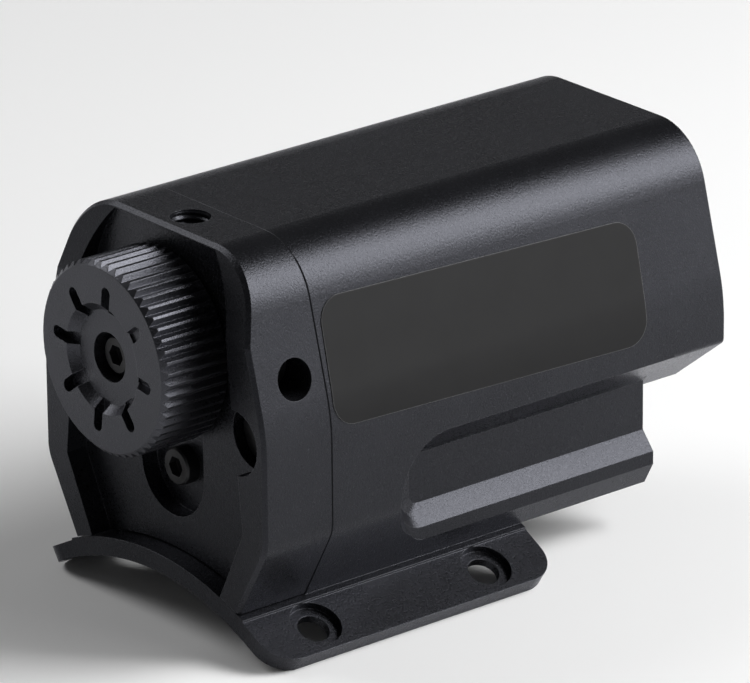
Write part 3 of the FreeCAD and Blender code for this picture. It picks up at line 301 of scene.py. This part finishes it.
def dress_nodes(materials):
    """Gives each solid the finish of its slot in the record."""
    slots = {entry["node"]: entry["material_slot"] for entry in frame["record"]["subparts"]}
    for name, thing in nodes.items():
        thing.data.materials.clear()
        thing.data.materials.append(materials[slots[name]])


# Thread in the open tapped hole

def thread_mesh(name, radius, length, pitch, depth):
    """Makes a right-hand internal thread downwards from the origin, as a thin ribbed skin."""
    around = 48
    rows_per_turn = 8
    rows = int(length / pitch * rows_per_turn)
    mesh = bmesh.new()
    grid = []
    for row in range(rows + 1):
        ring = []
        for step in range(around):
            turn = step / around
            phase = (row / rows_per_turn + turn) % 1.0
            crest = 1.0 - abs(2.0 * phase - 1.0)
            reach = radius - depth * min(1.0, CREST_SHARPNESS * crest) * min(1.0, row / rows_per_turn)
            angle = 2 * math.pi * turn
            spot = (reach * math.cos(angle), reach * math.sin(angle), -row * pitch / rows_per_turn)
            ring.append(mesh.verts.new(spot))
        grid.append(ring)
    for upper, lower in zip(grid, grid[1:]):
        for step in range(around):
            following = (step + 1) % around
            mesh.faces.new((upper[following], lower[following], lower[step], upper[step]))
    data = bpy.data.meshes.new(name)
    mesh.to_mesh(data)
    mesh.free()
    data.shade_smooth()
    thing = bpy.data.objects.new(name, data)
    bpy.context.scene.collection.objects.link(thing)
    return thing


def add_thread(material):
    """Lines the top hole of the cap with its thread."""
    inside = HOLE_RADIUS - THREAD_CLEARANCE
    thing = thread_mesh("top_hole_thread", inside, THREAD_LENGTH, THREAD_PITCH, THREAD_DEPTH)
    thing.matrix_world = Matrix.Translation((0, TOP_HOLE_Y, TOP_Z - THREAD_START))
    thing.data.materials.append(material)
    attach(thing, "base")


# Camera, floor and light

def add_camera():
    """Places the camera that was fitted to the photograph."""
    back = Vector((math.sin(AZIMUTH) * math.cos(ELEVATION), -math.cos(AZIMUTH) * math.cos(ELEVATION),
                   math.sin(ELEVATION)))
    right = Vector((math.cos(AZIMUTH), math.sin(AZIMUTH), 0))
    up = back.cross(right)
    tilted_right = right * math.cos(ROLL) + up * math.sin(ROLL)
    tilted_up = up * math.cos(ROLL) - right * math.sin(ROLL)
    data = bpy.data.cameras.new("camera")
    data.lens = LENS
    data.sensor_width = SENSOR
    data.clip_start = 0.05
    data.clip_end = 50
    camera = bpy.data.objects.new("camera", data)
    bpy.context.scene.collection.objects.link(camera)
    turn = Matrix((tilted_right, tilted_up, back)).transposed().to_4x4()
    camera.matrix_world = Matrix.Translation(AIM + back * DISTANCE) @ turn
    bpy.context.scene.camera = camera


def add_floor(height):
    """Lays a wide pale floor that keeps the object's soft shadow."""
    half = FLOOR_HALF_WIDTH
    data = bpy.data.meshes.new("floor")
    corners = [(-half, -half, height), (half, -half, height), (half, half, height), (-half, half, height)]
    data.from_pydata(corners, [], [(0, 1, 2, 3)])
    floor = bpy.data.objects.new("floor", data)
    bpy.context.scene.collection.objects.link(floor)
    graph = Graph("floor_paper")
    paper = graph.add("ShaderNodeBsdfDiffuse")
    graph.put(paper.inputs["Color"], grey(FLOOR_GREY))
    out = graph.add("ShaderNodeOutputMaterial")
    graph.put(out.inputs["Surface"], paper.outputs["BSDF"])
    data.materials.append(graph.material)


def add_softbox(name, direction, distance, width, height, power, target):
    """Hangs a soft rectangular light that faces the target."""
    data = bpy.data.lights.new(name, "AREA")
    data.shape = "RECTANGLE"
    data.size = width
    data.size_y = height
    data.energy = power
    light = bpy.data.objects.new(name, data)
    bpy.context.scene.collection.objects.link(light)
    away = Vector(direction).normalized()
    light.location = target + away * distance
    light.rotation_euler = away.to_track_quat("Z", "Y").to_euler()


def add_world():
    """Surrounds the scene with a pale horizon that darkens towards the ceiling."""
    world = bpy.data.worlds.new("studio")
    bpy.context.scene.world = world
    world.use_nodes = True
    tree = world.node_tree
    tree.nodes.clear()
    place = tree.nodes.new("ShaderNodeTexCoord")
    split = tree.nodes.new("ShaderNodeSeparateXYZ")
    fade = tree.nodes.new("ShaderNodeMapRange")
    for name, number in (("From Min", HORIZON_HEIGHT), ("From Max", CEILING_HEIGHT),
                         ("To Min", HORIZON_STRENGTH), ("To Max", CEILING_STRENGTH)):
        fade.inputs[name].default_value = number
    shade = tree.nodes.new("ShaderNodeBackground")
    out = tree.nodes.new("ShaderNodeOutputWorld")
    tree.links.new(place.outputs["Generated"], split.inputs["Vector"])
    tree.links.new(split.outputs["Z"], fade.inputs["Value"])
    tree.links.new(fade.outputs["Result"], shade.inputs["Strength"])
    tree.links.new(shade.outputs[0], out.inputs["Surface"])


def add_lights():
    """Lights the object with three softboxes and the world."""
    centre = Vector((0, 10, 15)) * MM
    add_softbox("top_softbox", (0.525, 0.59, 0.613), distance=0.55, width=0.28, height=0.40, power=3.8,
                target=centre)
    add_softbox("right_softbox", (0.85, 0.45, 0.28), distance=0.7, width=0.4, height=0.3, power=1.0,
                target=centre)
    add_softbox("left_softbox", (-0.75, -0.35, 0.75), distance=0.8, width=0.4, height=0.4, power=1.8,
                target=centre)
    add_world()


materials = make_materials()
dress_nodes(materials)
add_thread(materials["black_anodised"])
add_camera()
add_floor(cad_box[0][2])
add_lights()
bpy.context.scene.view_settings.view_transform = "Standard"
